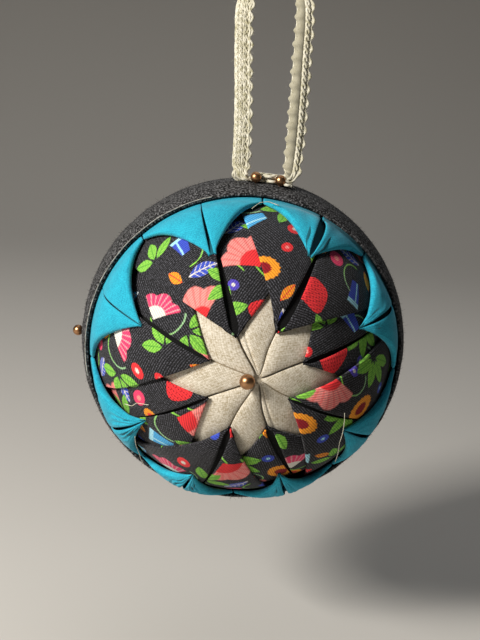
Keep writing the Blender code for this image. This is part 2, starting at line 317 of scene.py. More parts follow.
# Route of the loop: X, height over the ball's centre, twist (0 = width along Y), lengthwise crease
laceRoute = [
    (9.2, 42.8, 0, 0.0),
    (6.0, 43.15, 0, 0.0),
    (2.8, 43.4, 0, 0.0),
    (-0.4, 43.5, 0, 0.0),
    (-2.6, 43.4, 4, 0.0),
    (-3.75, 43.5, 36, 0.0),
    (-4.2, 44.7, 78, 0.0),
    (-4.25, 47.4, 80, 0.0),
    (-4.55, 57.0, 72, 0.0),
    (-5.1, 65.0, 70, 0.0),
    (-5.85, 74.0, 68, 0.0),
    (-6.4, 82.0, 70, 0.0),
    (-6.5, 87.0, 64, 0.0),
    (-5.2, 92.4, 38, 0.0),
    (-2.0, 95.8, 10, 0.0),
    (2.2, 96.2, -6, 0.0),
    (6.2, 94.0, -30, 0.0),
    (8.4, 89.6, -62, 0.2),
    (9.0, 84.0, -74, 0.35),
    (9.1, 76.0, -76, 0.4),
    (9.3, 68.0, -80, 0.4),
    (9.4, 60.0, -80, 0.4),
    (9.4, 53.0, -80, 0.4),
    (9.2, 48.6, -78, 0.35),
    (8.9, 45.6, -66, 0.2),
    (7.9, 44.5, -28, 0.0),
    (6.4, 44.4, -2, 0.0),
    (3.0, 44.6, 0, 0.0),
    (-0.4, 44.7, 0, 0.0),
]


def smoothRoute(rows, step):
    # Catmull-Rom curve through the rows, read again at even steps of its own length
    rows = np.array(rows, dtype=float)
    padded = np.vstack([2 * rows[0] - rows[1], rows, 2 * rows[-1] - rows[-2]])
    t = np.linspace(0, 1, 24, endpoint=False)[None, :, None]
    before, here, after, beyond = (padded[i:len(padded) - 3 + i, None, :] for i in range(4))
    curve = 0.5 * (2 * here + (after - before) * t
                   + (2 * before - 5 * here + 4 * after - beyond) * t ** 2
                   + (3 * here - before - 3 * after + beyond) * t ** 3)
    fine = np.vstack([curve.reshape(-1, rows.shape[1]), rows[-1:]])
    lengths = np.concatenate([[0], np.cumsum(np.hypot(*np.diff(fine[:, :2], axis=0).T))])
    places = np.linspace(0, lengths[-1], int(lengths[-1] / step) + 1)
    return places, np.column_stack([np.interp(places, lengths, column) for column in fine.T])


def laceFrame(rows):
    # Centres and the braid's own axes: across its width and out of its face. The stretch on
    # the band is pinned a little in front of the strands
    forward = -1.3 * smoothStep((46.5 - rows[:, 1]) / 2)
    forward -= 1.4 * smoothStep((rows[:, 0] - 6.2) / 2) * smoothStep((52 - rows[:, 1]) / 6)
    centres = np.column_stack([rows[:, 0], forward, rows[:, 1]]) + ballCentre
    ahead = unit(np.gradient(centres, axis=0))
    alongY = np.array([0.0, 1.0, 0.0])
    outward = np.cross(ahead, alongY)
    twist = np.radians(rows[:, 2])[:, None]
    wide = np.cos(twist) * alongY + np.sin(twist) * outward
    return centres, wide, np.cross(ahead, wide)


def yarnTube(line, thickness, facing, sides):
    # Round section carried along a line: centre + r (cos a facing + sin a sideways)
    ahead = unit(np.gradient(line, axis=0))
    facing = unit(facing - (facing * ahead).sum(1)[:, None] * ahead)
    sideways = np.cross(ahead, facing)
    angle = np.linspace(0, 2 * np.pi, sides, endpoint=False)[None, :, None]
    radius = np.broadcast_to(thickness, len(line))[:, None, None]
    points = line[:, None] + radius * (np.cos(angle) * facing[:, None]
                                       + np.sin(angle) * sideways[:, None])
    faces = gridFaces(len(line), sides, closeColumns=True, flip=True) + endCaps(len(line), sides)
    along = np.concatenate([[0], np.cumsum(np.linalg.norm(np.diff(line, axis=0), axis=1))])
    uv = np.stack(np.broadcast_arrays(
        along[:, None], np.linspace(0, 6.283 * np.mean(thickness), sides)[None, :]), axis=-1)
    return points.reshape(-1, 3), faces, uv.reshape(-1, 2)


def laceYarns(along, look):
    # Each yarn: place across the width, place out of the face, and thickness, all along the braid
    edge = np.pi * along / look["pitch"]
    chain = 2 * np.pi * along / look["chainPitch"]
    loose = 0.05 * softNoise(along, 0 * along, 11, 9.0)
    scallop = np.abs(np.sin(edge)) ** 2.2
    zigzag = np.arcsin(np.sin(2 * edge)) / (np.pi / 2)

    def crossing(across, out, swing, rise, angle, thickness):
        # Two strands that turn about each other
        return [(across + way * swing * np.sin(angle), out + way * rise * np.cos(angle), thickness)
                for way in (1, -1)]

    return [
        (2.05 + 0.10 * np.abs(np.sin(edge + 0.8)) + loose, 0.02 + 0 * along, 0.36),
        *crossing(1.45, 0.26, 0.36, 0.20, chain, 0.31),
        *crossing(0.62, 0.26, 0.34, 0.20, chain + 1.6, 0.30),
        (-0.12 + 0.10 * np.sin(chain / 2) + loose, 0.24 + 0.08 * np.sin(chain), 0.30),
        *crossing(-0.46, 0.0, 0.14, 0.22, chain + 0.7, 0.27),
        (-1.00 + 0.52 * zigzag, 0.05 + 0.10 * np.cos(2 * edge), 0.25),
        *crossing(-0.85, -0.34, 0.38, 0.18, 2 * edge, 0.32),
        (-1.52 - 0.16 * scallop + loose, 0.14 + 0.05 * np.sin(chain), 0.28),
        (-1.62 - 0.68 * scallop, -0.06 + 0.12 * np.cos(2 * edge), 0.30 + 0.12 * scallop),
    ]


laceFinish = {"fibre": 0.16, "roughness": 0.88, "bump": 0.35, "sheen": 0.25}


def cottonYarn(name, look, finish):
    # Cotton crochet yarn, softly spun: matt, with fine slanting fibres and a little fuzz
    material, tree = newMaterial(name)
    slant = addNode(tree, "ShaderNodeMapping", {"Rotation": (0, 0, 0.6), "Scale": (0.5, 2.2, 1)},
                    {"Vector": clothPlace(tree)})
    # Fibre bundles of about 0.16 mm, drawn as a stretched noise along the slant
    strands = noiseAt(tree, slant, 1 / finish["fibre"] / 2, 3.0)
    blotch = noiseAt(tree, addNode(tree, "ShaderNodeTexCoord", output=3), 900.0, 2.0)
    # Where the fibre noise is low the yarn takes the darker shade colour: painted shade in the
    # furrows between fibre bundles
    depth = fadeBetween(tree, sumUp(tree, "MULTIPLY", strands, blotch), 0.12, 0.34)
    spun = mixColours(tree, depth, look["shade"], look["colour"])
    # The plain woven strip and the backing behind the chains take a darker colour: painted shade
    colour = mixColours(tree, markShare(tree, "stripShade"), spun, look["stripShade"])
    bump = bumpFrom(tree, strands, finish["bump"], 0.0001)
    finishMaterial(tree, {"Roughness": finish["roughness"], "Sheen Weight": finish["sheen"]},
                   {"Base Color": colour, "Normal": bump})
    return material


def addFibres(name, roots, headings, length, thin, seed, material):
    # Loose fibres: thin three-sided hairs that leave their roots and curl, root + reach (h t + b t^2)
    draw = np.random.default_rng(seed)
    count = len(roots)
    headings = unit(headings)
    bend = draw.normal(size=(count, 3)) * 0.45
    reach = draw.uniform(*length, count)[:, None, None]
    t = np.linspace(0, 1, 4)[None, :, None]
    line = roots[:, None] + reach * (headings[:, None] * t + bend[:, None] * t ** 2)
    aside = unit(np.cross(headings, bend))
    other = np.cross(headings, aside)
    angle = np.radians([0, 120, 240])[None, None, :, None]
    ring = np.cos(angle) * aside[:, None, None] + np.sin(angle) * other[:, None, None]
    points = line[:, :, None] + thin * (1 - 0.7 * t)[..., None] * ring
    index = np.arange(count * 12).reshape(count, 4, 3)
    after = np.roll(index, -1, axis=2)
    quads = np.stack([index[:, :-1], after[:, :-1], after[:, 1:], index[:, 1:]], axis=-1)
    ends = np.concatenate([index[:, 0, ::-1], index[:, -1]])
    faces = quads.reshape(-1, 4).tolist() + ends.tolist()
    return makePiece(name, points, faces, material, uv=np.zeros((count * 12, 2)))


laceMaterial = cottonYarn("crochetCotton", laceLook, laceFinish)


def addLace(look, route, material):
    along, rows = smoothRoute(route, look["step"])
    centres, wide, facing = laceFrame(rows)
    crease = rows[:, 3]
    parts = []
    for across, out, thickness in laceYarns(along, look):
        out = out + crease * np.abs(across)
        line = centres + across[:, None] * wide + out[:, None] * facing
        parts.append(yarnTube(line, thickness, facing, look["sides"]))
    stripShade = [np.zeros(sum(len(points) for points, _, _ in parts))]
    # Plain woven strip behind the braid, and a backing behind the chains that stands for the shade in
    # their gaps: thin flat box sections, teeth on the outer edge. Both are coloured darker as painted
    # shade
    tooth = (0.3 + 1.3 * crease) * np.abs(np.sin(np.pi * along / look["pitch"] + 0.8)) ** 3
    for corners, tone in (([(0.0, -0.24), (0.0, -0.42), (2.1, -0.36), (2.2, -0.22)], 0.85),
                          ([(-1.15, -0.22), (-1.15, -0.3), (0.0, -0.3), (0.0, -0.2)], 1.0)):
        strip = np.stack([
            centres + (u + tooth * (u > 1))[:, None] * wide
            + (v + crease * abs(u))[:, None] * facing for u, v in corners], axis=1)
        faces = gridFaces(len(along), 4, closeColumns=True)
        faces += [face[::-1] for face in endCaps(len(along), 4)]
        uv = np.stack(np.broadcast_arrays(along[:, None], np.array([0, 0.2, 2.4, 2.6])), axis=-1)
        parts.append((strip.reshape(-1, 3), faces, uv.reshape(-1, 2)))
        stripShade.append(np.full(4 * len(along), tone))
    points, faces, uv = joinParts(parts)
    lace = makePiece("laceLoop", points, faces, material, uv, {"stripShade": np.concatenate(stripShade)})
    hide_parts("lace_loop")
    draw = np.random.default_rng(5)
    pick = draw.integers(0, len(centres), look["fibres"])
    side = draw.uniform(-1, 1, look["fibres"])[:, None]
    roots = centres[pick] + 0.46 * look["width"] * side * wide[pick]
    headings = draw.normal(size=roots.shape) * 0.5 + np.sign(side) * wide[pick]
    fibres = addFibres("laceFibres", roots, headings, (0.5, 1.5), 0.022, 6, material)
    print("lace loop: %.0f mm of braid" % along[-1])


addLace(laceLook, laceRoute, laceMaterial)


# Cloth finishes. The third colour of each is for the tucked edges and back layers inside the slits:
# plain cotton is the same colour on both sides, so this darker colour is painted shade of the fold
clothLooks = {
    "cream": {"colour": "#dad3c5", "dark": "#a3967d", "wrongSideShade": "#a8977a", "thread": 0.46,
              "weave": 0.22, "fluff": 1.9, "levels": (0.36, 0.77), "bump": 0.4, "fuzz": 0.1},
    "blue": {"colour": "#26abc4", "dark": "#1784a0", "wrongSideShade": "#0d5563", "thread": 0.46,
             "weave": 0.3, "fluff": 2.3, "levels": (0.36, 0.85), "bump": 0.25, "fuzz": 0.1},
    "band": {"colour": "#6c6c6e", "dark": "#040405", "wrongSideShade": "#040405", "thread": 0.62,
             "weave": 0.04, "fluff": 1.7, "levels": (0.50, 0.64), "bump": 1.0, "fuzz": 0.0},
}


def plainCotton(name, look):
    # Plain-woven quilting cotton: matt, with a fine even weave and slightly uneven threads
    material, tree = newMaterial(name)
    place = clothPlace(tree)
    wander = noiseAt(tree, place, 0.35, 2.0)
    threads = []
    for direction in ("X", "Y"):
        # Thread spacing is drawn a little coarser than real so that it still shows
        threads.append(addNode(
            tree, "ShaderNodeTexWave",
            {"wave_type": "BANDS", "bands_direction": direction, "wave_profile": "SIN",
             "Scale": 0.314 / look["thread"], "Distortion": 0.6, "Detail": 1.0, "Detail Scale": 2.0},
            {"Vector": place}, 1))
    share = sumUp(tree, "MULTIPLY_ADD", sumUp(tree, "MULTIPLY", *threads), look["weave"],
                  noiseAt(tree, place, look["fluff"], 4.0))
    level = fadeBetween(tree, share, *look["levels"])
    soft = addNode(tree, "ShaderNodeMath", {"operation": "ADD", "use_clamp": True},
                   {0: sumUp(tree, "MULTIPLY_ADD", wander, 0.9, -0.4), 1: level})
    faced = mixColours(tree, soft, look["dark"], look["colour"])
    # Tucked edges and back layers inside the slits take the darker colour: painted shade of the fold
    colour = mixColours(tree, markShare(tree, "wrongSideAndShade"), faced, look["wrongSideShade"])
    bump = bumpFrom(tree, share, look["bump"], 0.00012)
    finishMaterial(tree, {"Roughness": 0.9, "Sheen Weight": look["fuzz"],
                          "Specular IOR Level": 0.25}, {"Base Color": colour, "Normal": bump})
    return material


# Flower print: motifs drawn in a square repeat, sizes in mm
printLook = {
    "repeat": 38.0,
    "grow": 1.14,
    "ground": "#111113",
    "fleck": "#5f5f67",
    # Plain reverse of the print, made darker than the ground as painted shade inside the slits
    "wrongSideShade": "#070708",
    "twill": 0.54,
    "bump": 0.5,
}
printColours = {
    "green": "#86c64a", "dark green": "#5a9c38", "red": "#e63338", "deep red": "#8c1420",
    "coral": "#f2908a", "white": "#e2ddd2", "orange": "#f59b28", "sky": "#4aa6de",
    "pale": "#a6def0", "royal": "#3c50be", "magenta": "#e6406c", "stem": "#8fb88a",
    "violet": "#5548b8",
}
# Sprays of leaves: x, y, number of leaves, heading of the middle leaf, spread, leaf half length
printSprays = [
    (8.5, 8.5, 5, 90, 180, 3.2),
    (27.5, 26.0, 4, 250, 170, 3.0),
    (30.5, 7.5, 3, 30, 120, 2.6),
    (7.0, 31.0, 3, 120, 110, 2.8),
]
# Single motifs: kind, x, y, heading, half size, two colours
printMotifs = [
    ("stem", 14.0, 15.0, 20, 4.2, "stem", "green"),
    ("stem", 25.0, 17.5, 200, 5.0, "stem", "green"),
    ("stem", 30.5, 31.0, 100, 4.4, "stem", "green"),
    ("stem", 15.5, 31.5, 300, 3.8, "stem", "green"),
    ("fan", 19.5, 20.5, 25, 5.2, "coral", "red"),
    ("fan", 33.0, 33.0, 250, 3.8, "magenta", "white"),
    ("pot", 19.0, 6.3, 10, 3.9, "red", "deep red"),
    ("cup", 32.0, 17.5, 200, 3.5, "sky", "pale"),
    ("cup", 13.5, 33.5, 40, 3.0, "royal", "pale"),
    ("pod", 8.0, 20.5, 60, 3.9, "orange", "deep red"),
    ("pod", 26.0, 35.0, 20, 2.4, "orange", "red"),
    ("berry", 24.6, 11.6, 0, 1.7, "red", "coral"),
    ("berry", 14.4, 13.4, 0, 1.3, "violet", "white"),
    ("berry", 35.2, 26.5, 0, 1.7, "red", "white"),
    ("berry", 2.6, 14.6, 0, 1.4, "royal", "pale"),
    ("berry", 21.4, 33.0, 0, 1.9, "magenta", "coral"),
    ("berry", 2.9, 24.9, 0, 1.3, "red", "coral"),
    ("leaf", 20.0, 27.8, 30, 3.4, "royal", "white"),
    ("leaf", 34.4, 4.2, 120, 3.0, "sky", "white"),
    ("leaf", 13.6, 26.4, 150, 2.4, "orange", "red"),
    ("leaf", 33.6, 12.0, 75, 2.2, "orange", "deep red"),
]


def motifGroup(kind, drawShape):
    # One group for each motif: its own coordinates in, colour and mask out
    group = bpy.data.node_groups.new(kind + "Motif", "ShaderNodeTree")
    group.interface.new_socket("Vector", in_out="INPUT", socket_type="NodeSocketVector")
    group.interface.new_socket("First", in_out="INPUT", socket_type="NodeSocketColor")
    group.interface.new_socket("Second", in_out="INPUT", socket_type="NodeSocketColor")
    group.interface.new_socket("Color", in_out="OUTPUT", socket_type="NodeSocketColor")
    group.interface.new_socket("Mask", in_out="OUTPUT", socket_type="NodeSocketFloat")
    entry = group.nodes.new("NodeGroupInput")
    split = addNode(group, "ShaderNodeSeparateXYZ", None, {0: entry.outputs["Vector"]}).node
    share, mask = drawShape(group, split.outputs[0], split.outputs[1])
    colour = mixColours(group, share, entry.outputs["First"], entry.outputs["Second"])
    addNode(group, "NodeGroupOutput", None, {"Color": colour, "Mask": mask})
    return group


def farFromMiddle(tree, x, y):
    # Square root of x^2 + y^2
    return sumUp(tree, "SQRT", sumUp(tree, "ADD", sumUp(tree, "MULTIPLY", x, x),
                                     sumUp(tree, "MULTIPLY", y, y)))


def drawLeaf(tree, x, y):
    # Lens: |y| below 0.46 (1 - x^2); ribs slant back from the middle vein
    height = sumUp(tree, "ABSOLUTE", y)
    lens = sumUp(tree, "MULTIPLY_ADD", sumUp(tree, "MULTIPLY", x, x), -0.46, 0.46)
    mask = fadeBetween(tree, sumUp(tree, "SUBTRACT", lens, height), 0.0, 0.05)
    vein = fadeBetween(tree, height, 0.06, 0.02)
    slant = sumUp(tree, "MULTIPLY_ADD", height, -14.0, sumUp(tree, "MULTIPLY", x, 19.0))
    ribs = fadeBetween(tree, sumUp(tree, "SINE", slant), 0.55, 1.0)
    return sumUp(tree, "MAXIMUM", vein, sumUp(tree, "MULTIPLY", ribs, 0.75)), mask


def drawBerry(tree, x, y):
    # Disc with a paler round spot
    spread = farFromMiddle(tree, x, y)
    return fadeBetween(tree, spread, 0.42, 0.22), fadeBetween(tree, spread, 1.0, 0.9)


def drawFan(tree, x, y):
    # Half-open flower: a fan of striped petals from a point below, with a solid heart
    raised = sumUp(tree, "ADD", y, 0.9)
    spread = farFromMiddle(tree, x, raised)
    angle = sumUp(tree, "ARCTAN2", x, raised)
    rim = sumUp(tree, "MULTIPLY_ADD", sumUp(tree, "ABSOLUTE", sumUp(
        tree, "COSINE", sumUp(tree, "MULTIPLY", angle, 4.0))), 0.22, 1.45)
    inside = fadeBetween(tree, sumUp(tree, "SUBTRACT", rim, spread), 0.0, 0.08)
    sides = fadeBetween(tree, sumUp(tree, "ABSOLUTE", angle), 0.92, 0.86)
    stripes = fadeBetween(tree, sumUp(tree, "SINE", sumUp(tree, "MULTIPLY", angle, 26.0)), 0.3, 0.8)
    heart = fadeBetween(tree, spread, 0.85, 0.78)
    share = sumUp(tree, "MAXIMUM", heart, sumUp(tree, "MULTIPLY", stripes, 0.35))
    return share, sumUp(tree, "MULTIPLY", inside, sides)


def drawCup(tree, x, y):
    # Bell cup: sides open upwards, with a pale rim and a pale line down one side
    wide = sumUp(tree, "MULTIPLY_ADD", y, 0.22, 0.55)
    sides = fadeBetween(tree, sumUp(tree, "SUBTRACT", wide, sumUp(tree, "ABSOLUTE", x)), 0.0, 0.06)
    ends = fadeBetween(tree, sumUp(tree, "ABSOLUTE", y), 0.86, 0.8)
    rim = fadeBetween(tree, y, 0.5, 0.56)
    line = fadeBetween(tree, sumUp(tree, "ABSOLUTE", sumUp(tree, "ADD", x, 0.22)), 0.1, 0.04)
    return sumUp(tree, "MAXIMUM", rim, line), sumUp(tree, "MULTIPLY", sides, ends)


def drawPod(tree, x, y):
    # Seed pod: a toothed oval with a dark oval heart
    tall = sumUp(tree, "MULTIPLY", y, 1.45)
    spread = farFromMiddle(tree, x, tall)
    angle = sumUp(tree, "ARCTAN2", x, tall)
    teeth = sumUp(tree, "SINE", sumUp(tree, "MULTIPLY", angle, 18.0))
    edge = sumUp(tree, "MULTIPLY_ADD", teeth, 0.035, spread)
    return fadeBetween(tree, edge, 0.52, 0.44), fadeBetween(tree, edge, 1.0, 0.93)


def drawPot(tree, x, y):
    # Round-cornered pot: |x|^3 + |y|^3 below 1, narrower at the foot, with stitched dots
    taper = sumUp(tree, "MULTIPLY", x, sumUp(tree, "MULTIPLY_ADD", y, -0.2, 1.12))
    body = sumUp(tree, "ADD", sumUp(tree, "POWER", sumUp(tree, "ABSOLUTE", taper), 3.0),
                 sumUp(tree, "POWER", sumUp(tree, "ABSOLUTE", sumUp(tree, "MULTIPLY", y, 1.25)), 3.0))
    dots = sumUp(tree, "MULTIPLY", sumUp(tree, "SINE", sumUp(tree, "MULTIPLY", x, 22.0)),
                 sumUp(tree, "SINE", sumUp(tree, "MULTIPLY", y, 22.0)))
    return fadeBetween(tree, dots, 0.35, 0.9), fadeBetween(tree, body, 1.0, 0.88)


def drawStem(tree, x, y):
    # Thin arc: a ring of radius 0.9 kept where y is over -0.1
    off = sumUp(tree, "ABSOLUTE", sumUp(tree, "SUBTRACT", farFromMiddle(tree, x, y), 0.9))
    ring = fadeBetween(tree, off, 0.055, 0.03)
    return fadeBetween(tree, x, -0.8, 0.8), sumUp(
        tree, "MULTIPLY", ring, fadeBetween(tree, y, -0.15, -0.05))


def flowerPrint(name, look, sprays, motifs, colours):
    # Printed cotton twill: black ground with pale flecks along the twill, bright flat motifs
    material, tree = newMaterial(name)
    shapes = {"leaf": drawLeaf, "berry": drawBerry, "fan": drawFan, "cup": drawCup,
              "pod": drawPod, "pot": drawPot, "stem": drawStem}
    groups = {kind: motifGroup(kind, shape) for kind, shape in shapes.items()}
    grow = look["grow"]
    place = clothPlace(tree)
    # Printed edges follow the threads, so the place is shaken a little
    shake = noiseAt(tree, place, 3.2, 2.0, 1)
    moved = addNode(tree, "ShaderNodeVectorMath", {"operation": "MULTIPLY_ADD", 1: (0.5, 0.5, 0)},
                    {0: shake, 2: place})
    wrapped = addNode(tree, "ShaderNodeVectorMath",
                      {"operation": "WRAP", 1: (look["repeat"] * grow,) * 3, 2: (0, 0, 0)},
                      {0: moved})
    rows = list(motifs)
    for x, y, count, heading, spread, size in sprays:
        for turn in np.radians(np.linspace(heading - spread / 2, heading + spread / 2, count)):
            reach = size * 1.25
            rows.append(("leaf", x + reach * np.cos(turn), y + reach * np.sin(turn),
                         np.degrees(turn), size, "green", "dark green"))
    # Twill: slanting threads half a mm apart, drawn a little coarser than real
    slant = addNode(tree, "ShaderNodeMapping", {"Rotation": (0, 0, 0.9)}, {"Vector": place})
    twill = [addNode(tree, "ShaderNodeTexWave",
                     {"bands_direction": direction, "Scale": scale / look["twill"],
                      "Distortion": 1.6, "Detail": 2.0, "Detail Scale": 2.5}, {"Vector": slant}, 1)
             for direction, scale in (("X", 0.314), ("Y", 0.21))]
    threads = sumUp(tree, "MULTIPLY", twill[0], sumUp(tree, "MULTIPLY_ADD", twill[1], 0.4, 0.6))
    pale = sumUp(tree, "MULTIPLY", fadeBetween(tree, threads, 0.15, 0.85),
                 fadeBetween(tree, noiseAt(tree, place, 3.0, 4.0), 0.40, 0.64))
    colour = mixColours(tree, pale, look["ground"], look["fleck"])
    for kind, x, y, heading, size, firstColour, secondColour in rows:
        local = addNode(tree, "ShaderNodeMapping",
                        {"vector_type": "TEXTURE", "Location": (x * grow, y * grow, 0),
                         "Rotation": (0, 0, float(np.radians(heading))),
                         "Scale": (size * grow, size * grow, 1)}, {"Vector": wrapped})
        drawn = addNode(tree, "ShaderNodeGroup", {"node_tree": groups[kind]}).node
        tree.links.new(local, drawn.inputs["Vector"])
        drawn.inputs["First"].default_value = linearColour(colours[firstColour])
        drawn.inputs["Second"].default_value = linearColour(colours[secondColour])
        colour = mixColours(tree, drawn.outputs["Mask"], colour, drawn.outputs["Color"])
    # The black warp shows through the print as small dark ticks
    tick = sumUp(tree, "MULTIPLY", fadeBetween(tree, threads, 0.35, 0.0), 0.5)
    colour = mixColours(tree, tick, colour, look["ground"])
    # Tucked edges and back layers show the plain reverse without motifs, darker than the ground as
    # painted shade inside the slits
    colour = mixColours(tree, markShare(tree, "wrongSideAndShade"), colour, look["wrongSideShade"])
    bump = bumpFrom(tree, threads, look["bump"], 0.0001)
    finishMaterial(tree, {"Roughness": 0.88, "Sheen Weight": 0.06, "Specular IOR Level": 0.2},
                   {"Base Color": colour, "Normal": bump})
    return material


creamCotton = plainCotton("creamCotton", clothLooks["cream"])
blueCotton = plainCotton("blueCotton", clothLooks["blue"])
bandFelt = plainCotton("blackBandCloth", clothLooks["band"])
printCotton = flowerPrint("flowerPrintCotton", printLook, printSprays, printMotifs, printColours)
print("cloth finishes are made")

# Folded points
stripLook = {
    "cloth": 0.26,
    "roll": 0.24,
    "tuck": 1.6,
    "tuckSteps": 3,
    "rollSteps": 6,
    "flapSteps": 26,
    "foldSteps": 8,
    "backSteps": 7,
    "rowShare": 1.0,
}
backStripLook = {**stripLook, "flapSteps": 14, "foldSteps": 6, "backSteps": 4, "rowShare": 0.6}


def halfSection(low, high, width, slit, look):
    # Half of a folded section, in mm: tucked edge, roll at the slit, flap, outer fold, back layer.
    # Returns the place across, the height, and how far across the flap each column is
    height = high - low
    roll = np.minimum(look["roll"], 0.2 * width)
    bend = np.minimum(height / 2, 0.4 * width)
    tuck = np.minimum(look["tuck"], 0.5 * width)
    inward = np.linspace(1, 0, look["tuckSteps"], endpoint=False)
    slitRound = np.radians(np.linspace(-90, 90, look["rollSteps"]))
    flap = np.linspace(0, 1, look["flapSteps"] + 2)[1:-1]
    foldRound = np.radians(np.linspace(90, -90, look["foldSteps"]))
    back = np.linspace(1, 0, look["backSteps"])[1:]
    start, end = slit + roll, width - bend
    across = np.hstack([
        start + tuck * inward, start - roll * np.cos(slitRound), start + (end - start) * flap,
        end + bend * np.cos(foldRound), end * back])
    level = np.hstack([
        high - 2 * roll + 0 * inward, high - roll + roll * np.sin(slitRound), high + 0 * flap,
        low + height / 2 * (1 + np.sin(foldRound)), low + 0 * back])
    share = np.concatenate([0 * inward, 0 * slitRound, flap, 1 + 0 * foldRound, 1 + 0 * back])
    onTop = np.concatenate([1 + 0 * inward, 1 + 0 * slitRound, 1 + 0 * flap,
                            (1 + np.sin(foldRound)) / 2, 0 * back])
    # Mark of the tucked edge and the back layer, where the wrong side of the cloth shows inside the
    # slit; the finishes colour it darker as painted shade
    wrongSideShade = np.concatenate([1 + 0 * inward, 0 * slitRound, 0 * flap, 0 * foldRound, 1 + 0 * back])
    return across, level, share, onTop, wrongSideShade


def foldedCloth(name, node, turn, rows, shape, uvPlaces, material, side, look):
    # rows: per row of the piece, lean, distance from the tip, low and high for the left and right
    # side, width and slit; shape(side, share, onTop, across, rows) gives the extra height
    sides = []
    for hand in (0, 1):
        across, level, share, onTop, wrongSideShade = halfSection(
            rows["low"][hand], rows["high"][hand], rows["width"][hand], rows["slit"], look)
        middle = (rows["low"][0] + rows["low"][1]) / 2
        nearMiddle = 1 - smoothStep(across / 3.0)
        level = level + (1 - onTop) * (middle - rows["low"][hand]) * nearMiddle
        level = level + shape(hand, share, onTop, across, rows)
        signed = across * (1 if hand else -1)
        shiftX, shiftY, heading = uvPlaces[hand]
        heading = np.radians(heading)
        down = rows["distance"] + 0 * across
        uv = np.stack([shiftX + signed * np.cos(heading) - down * np.sin(heading),
                       shiftY + signed * np.sin(heading) + down * np.cos(heading)], axis=-1)
        offset = np.degrees(signed / (rows["low"][hand] * np.sin(np.radians(rows["lean"]))))
        place = placeOnBall(rows["lean"], turn + offset, level, side)
        sides.append((place, uv, wrongSideShade + 0 * down))
    points, uv, inside = (np.concatenate([left, right[:, -2::-1]], axis=1)
                          for left, right in zip(*sides))
    piece = makePiece(name, points, gridFaces(*points.shape[:2], flip=side < 0), material, uv,
                      {"wrongSideAndShade": inside})
    solid = piece.modifiers.new("clothThickness", "SOLIDIFY")
    solid.thickness = look["cloth"] * mm
    solid.offset = -1
    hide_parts(node)
    return piece


def foldTop(low, distance, reach):
    # Upper height of a fold, which thins out at the tip by 1 - exp(-distance / reach)
    return low + (layers["fold"] - 2 * layers["clear"]) * (1 - np.exp(-distance / reach))


def rowLeans(tip, look, strip):
    # Leans from tip to base, closer together at the tip
    t = np.linspace(0, 1, int(look["rows"] * strip["rowShare"]))[:, None]
    return tip + (look["base"] - tip) * (0.35 * t + 0.65 * t ** 2)


def degreeWidth(radius, lean):
    # Width in mm of one degree of turn at this lean
    return radius * np.sin(np.radians(lean)) * np.pi / 180


# Cream points: name, turn of the slit, turns of both edges, and the width in mm of the extra
# pleat beside each edge
creamFront = [
    ("cream_point_1", 28, -18, 72, 1.5, 0.0),
    ("cream_point_2", 113, 72, 154, 0.0, 1.3),
    ("cream_point_3", 193, 154, 238, 0.0, 0.0),
    ("cream_point_4", 292, 238, 342, 0.0, 0.0),
]
seamMeet = {"aside": 2.6, "reach": 7.0}
creamLook = {"tip": 1.6, "base": 43.0, "rows": 34, "arch": 0.45, "slit": 0.12, "gap": 0.2,
             "roll": 0.40, "grooveWidth": 0.22, "grooveDepth": 0.38, "uneven": 0.12,
             "flat": (0.050, 0.025)}


def makeCream(row, side, look, strip, seed):
    node, turn, first, last, pleatLeft, pleatRight = row
    lean = rowLeans(look["tip"], look, strip)
    low = layers["cream"] + layers["clear"] + 0 * lean
    perDegree = degreeWidth(low, lean)
    distance = low * np.radians(lean - look["tip"])
    high = foldTop(low, distance + 0.6, 1.2)
    rows = {"lean": lean, "distance": distance, "low": (low, low), "high": (high, high),
            "width": ((turn - first) * perDegree - look["gap"],
                      (last - turn) * perDegree - look["gap"]),
            "slit": look["slit"] * (0.4 + 0.6 * smoothStep(distance / 6))}

    def shape(hand, share, onTop, across, rows):
        # Soft pillow between slit and edge, a pleat groove, and a little unevenness
        grown = smoothStep(rows["distance"] / 9)
        height = look["arch"] * grown * np.sin(np.pi * share) ** 0.7 * onTop
        pleat = (pleatLeft, pleatRight)[hand]
        if pleat:
            fromEdge = rows["width"][hand] - across
            place = pleat * (0.35 + 0.65 * grown)
            groove = np.exp(-((fromEdge - place) / look["grooveWidth"]) ** 2)
            deep = look["grooveDepth"] * smoothStep(rows["distance"] / 3)
            height = height - deep * groove * onTop
        uneven = softNoise(across, rows["distance"], seed + hand, 7.0)
        return (height + look["uneven"] * uneven * grown * onTop
                * np.sin(np.pi * share) ** 0.5)

    uvPlaces = ((seed * 3.1, 0, 45), (seed * 5.3, 4, -45))
    piece = foldedCloth("fold_" + node, node, turn, rows, shape, uvPlaces, creamCotton, side,
                        {**strip, "roll": look["roll"]})
    # The seams meet to the right of the pin: x moves by aside exp(-(r / reach)^2)
    places = np.empty(3 * len(piece.data.vertices), dtype=np.float32)
    piece.data.vertices.foreach_get("co", places)
    places = places.reshape(-1, 3)
    spread = np.hypot(places[:, 0] - ballCentre[0] * mm, places[:, 2] - ballCentre[2] * mm) / mm
    places[:, 0] += seamMeet["aside"] * mm * np.exp(-(spread / seamMeet["reach"]) ** 2) * side
    piece.data.vertices.foreach_set("co", places.ravel())


